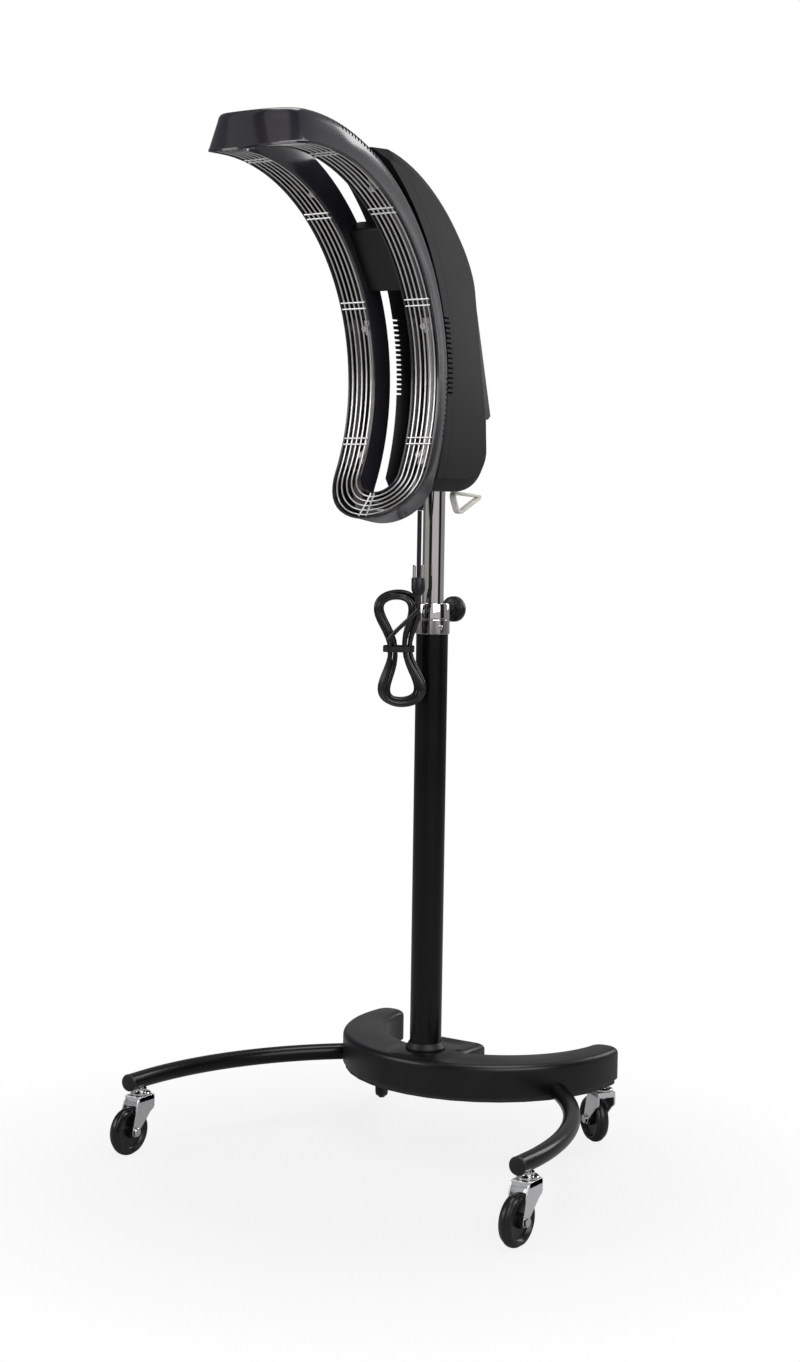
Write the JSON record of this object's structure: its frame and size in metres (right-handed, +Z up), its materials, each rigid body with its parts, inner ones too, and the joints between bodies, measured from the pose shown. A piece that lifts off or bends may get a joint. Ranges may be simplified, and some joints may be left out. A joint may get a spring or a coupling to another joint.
{
  "type": "salon hair processor",
  "caption": "Curved infrared loop heater that orbits on a housed arm, on a telescopic column with a crescent base, tubular legs and swivel casters.",
  "frame": {"origin": "centre of the footprint on the floor, below the whole without its cord", "axes": "+Z up, -Y towards the seated client, +X to the right of someone who looks along +Y"},
  "size_m": [0.7046, 0.7138, 1.4605],
  "materials": {
    "gloss_black": "satin black moulding",
    "black_paint": "gloss black enamel",
    "cast_iron": "black painted casting",
    "chrome": "polished chrome",
    "zinc": "bright zinc plate",
    "tyre": "black wheel with a soft sheen",
    "black_plastic": "fine matt black",
    "grey_plastic": "matt dark grey",
    "loop_plastic": "glossy dark grey",
    "ivory": "ivory",
    "aluminium": "polished reflector sheet",
    "quartz": "frosted quartz",
    "board": "green laminate",
    "display": "dark window",
    "cord": "black sheath"
  },
  "bodies": {
    "base": {"base_core": "cast_iron", "base_cover": "gloss_black", "leg_left": "black_paint", "leg_right": "black_paint", "leg_cap_left": "black_plastic", "leg_cap_right": "black_plastic", "column_tube": "black_paint", "column_foot_ring": "black_plastic", "column_collar": "chrome", "column_bush": "black_plastic", "caster_stem_front_left": "chrome", "caster_stem_front_right": "chrome", "caster_stem_rear_left": "chrome", "caster_stem_rear_right": "chrome"},
    "mast": {"mast_tube": "chrome", "mast_guide": "black_plastic"},
    "head": {"head_front_shell": "grey_plastic", "head_rear_shell": "grey_plastic", "control_panel": "black_plastic", "display_window": "display", "control_board": "board", "mast_clamp_block": "zinc", "orbit_motor": "zinc", "orbit_bearing": "black_plastic", "cord_hook": "ivory", "cord_gland": "black_plastic", "cord_lead": "cord", "cord_hank": "cord", "cord_tail": "cord", "cord_tie": "black_plastic", "mains_plug": "black_plastic"},
    "loop": {"loop_shell": "loop_plastic", "reflector": "aluminium", "wire_guard": "chrome", "hub_block": "black_plastic", "orbit_shaft": "zinc", "lamp_upper_left": "quartz", "lamp_upper_right": "quartz", "lamp_lower_left": "quartz", "lamp_lower_right": "quartz"},
    "knob": {"clamp_knob": "black_plastic", "clamp_stud": "zinc"},
    "fork_front_left": {"caster_fork_front_left": "zinc", "caster_axle_front_left": "chrome"},
    "wheel_front_left": {"caster_wheel_front_left": "tyre"},
    "fork_front_right": {"caster_fork_front_right": "zinc", "caster_axle_front_right": "chrome"},
    "wheel_front_right": {"caster_wheel_front_right": "tyre"},
    "fork_rear_left": {"caster_fork_rear_left": "zinc", "caster_axle_rear_left": "chrome"},
    "wheel_rear_left": {"caster_wheel_rear_left": "tyre"},
    "fork_rear_right": {"caster_fork_rear_right": "zinc", "caster_axle_rear_right": "chrome"},
    "wheel_rear_right": {"caster_wheel_rear_right": "tyre"},
    "button_left": {"button_left": "black_plastic"},
    "button_middle": {"button_middle": "black_plastic"},
    "button_right": {"button_right": "black_plastic"}
  },
  "joints": [
    {"name": "mast_slide", "type": "slide", "parent": "base", "child": "mast", "axis": [0, 0, 1], "range_m": [-0.06, 0.24]},
    {"name": "head_swivel", "type": "hinge", "parent": "mast", "child": "head", "pos_m": [0, 0.12186, 1.05], "axis": [0, 0, 1], "range_deg": [-90, 90]},
    {"name": "loop_orbit", "type": "hinge", "parent": "head", "child": "loop", "pos_m": [0, -0.27274, 1.1316], "axis": [0, 0.8429, 0.538], "range_deg": [-180, 180]},
    {"name": "knob_turn", "type": "hinge", "parent": "base", "child": "knob", "pos_m": [0, 0.17186, 0.8085], "axis": [0, 1, 0], "range_deg": [-360, 0]},
    {"name": "swivel_front_left", "type": "hinge", "parent": "base", "child": "fork_front_left", "pos_m": [-0.334, -0.13614, 0.081], "axis": [0, 0, 1], "continuous": true},
    {"name": "roll_front_left", "type": "hinge", "parent": "fork_front_left", "child": "wheel_front_left", "pos_m": [-0.334, -0.16214, 0.036], "axis": [1, 0, 0], "continuous": true},
    {"name": "swivel_front_right", "type": "hinge", "parent": "base", "child": "fork_front_right", "pos_m": [0.334, -0.13614, 0.081], "axis": [0, 0, 1], "continuous": true},
    {"name": "roll_front_right", "type": "hinge", "parent": "fork_front_right", "child": "wheel_front_right", "pos_m": [0.334, -0.16214, 0.036], "axis": [1, 0, 0], "continuous": true},
    {"name": "swivel_rear_left", "type": "hinge", "parent": "base", "child": "fork_rear_left", "pos_m": [-0.203, 0.30186, 0.081], "axis": [0, 0, 1], "continuous": true},
    {"name": "roll_rear_left", "type": "hinge", "parent": "fork_rear_left", "child": "wheel_rear_left", "pos_m": [-0.21716, 0.32367, 0.036], "axis": [-0.8387, -0.5446, 0], "continuous": true},
    {"name": "swivel_rear_right", "type": "hinge", "parent": "base", "child": "fork_rear_right", "pos_m": [0.203, 0.30186, 0.081], "axis": [0, 0, 1], "continuous": true},
    {"name": "roll_rear_right", "type": "hinge", "parent": "fork_rear_right", "child": "wheel_rear_right", "pos_m": [0.18145, 0.3164, 0.036], "axis": [-0.5592, -0.829, 0], "continuous": true},
    {"name": "press_left", "type": "slide", "parent": "head", "child": "button_left", "axis": [0, -0.9623, -0.2719], "range_m": [0, 0.0012], "stiffness_N_per_m": 900, "springref_m": -0.0004},
    {"name": "press_middle", "type": "slide", "parent": "head", "child": "button_middle", "axis": [0, -0.9623, -0.2719], "range_m": [0, 0.0012], "stiffness_N_per_m": 900, "springref_m": -0.0004},
    {"name": "press_right", "type": "slide", "parent": "head", "child": "button_right", "axis": [0, -0.9623, -0.2719], "range_m": [0, 0.0012], "stiffness_N_per_m": 900, "springref_m": -0.0004}
  ]
}
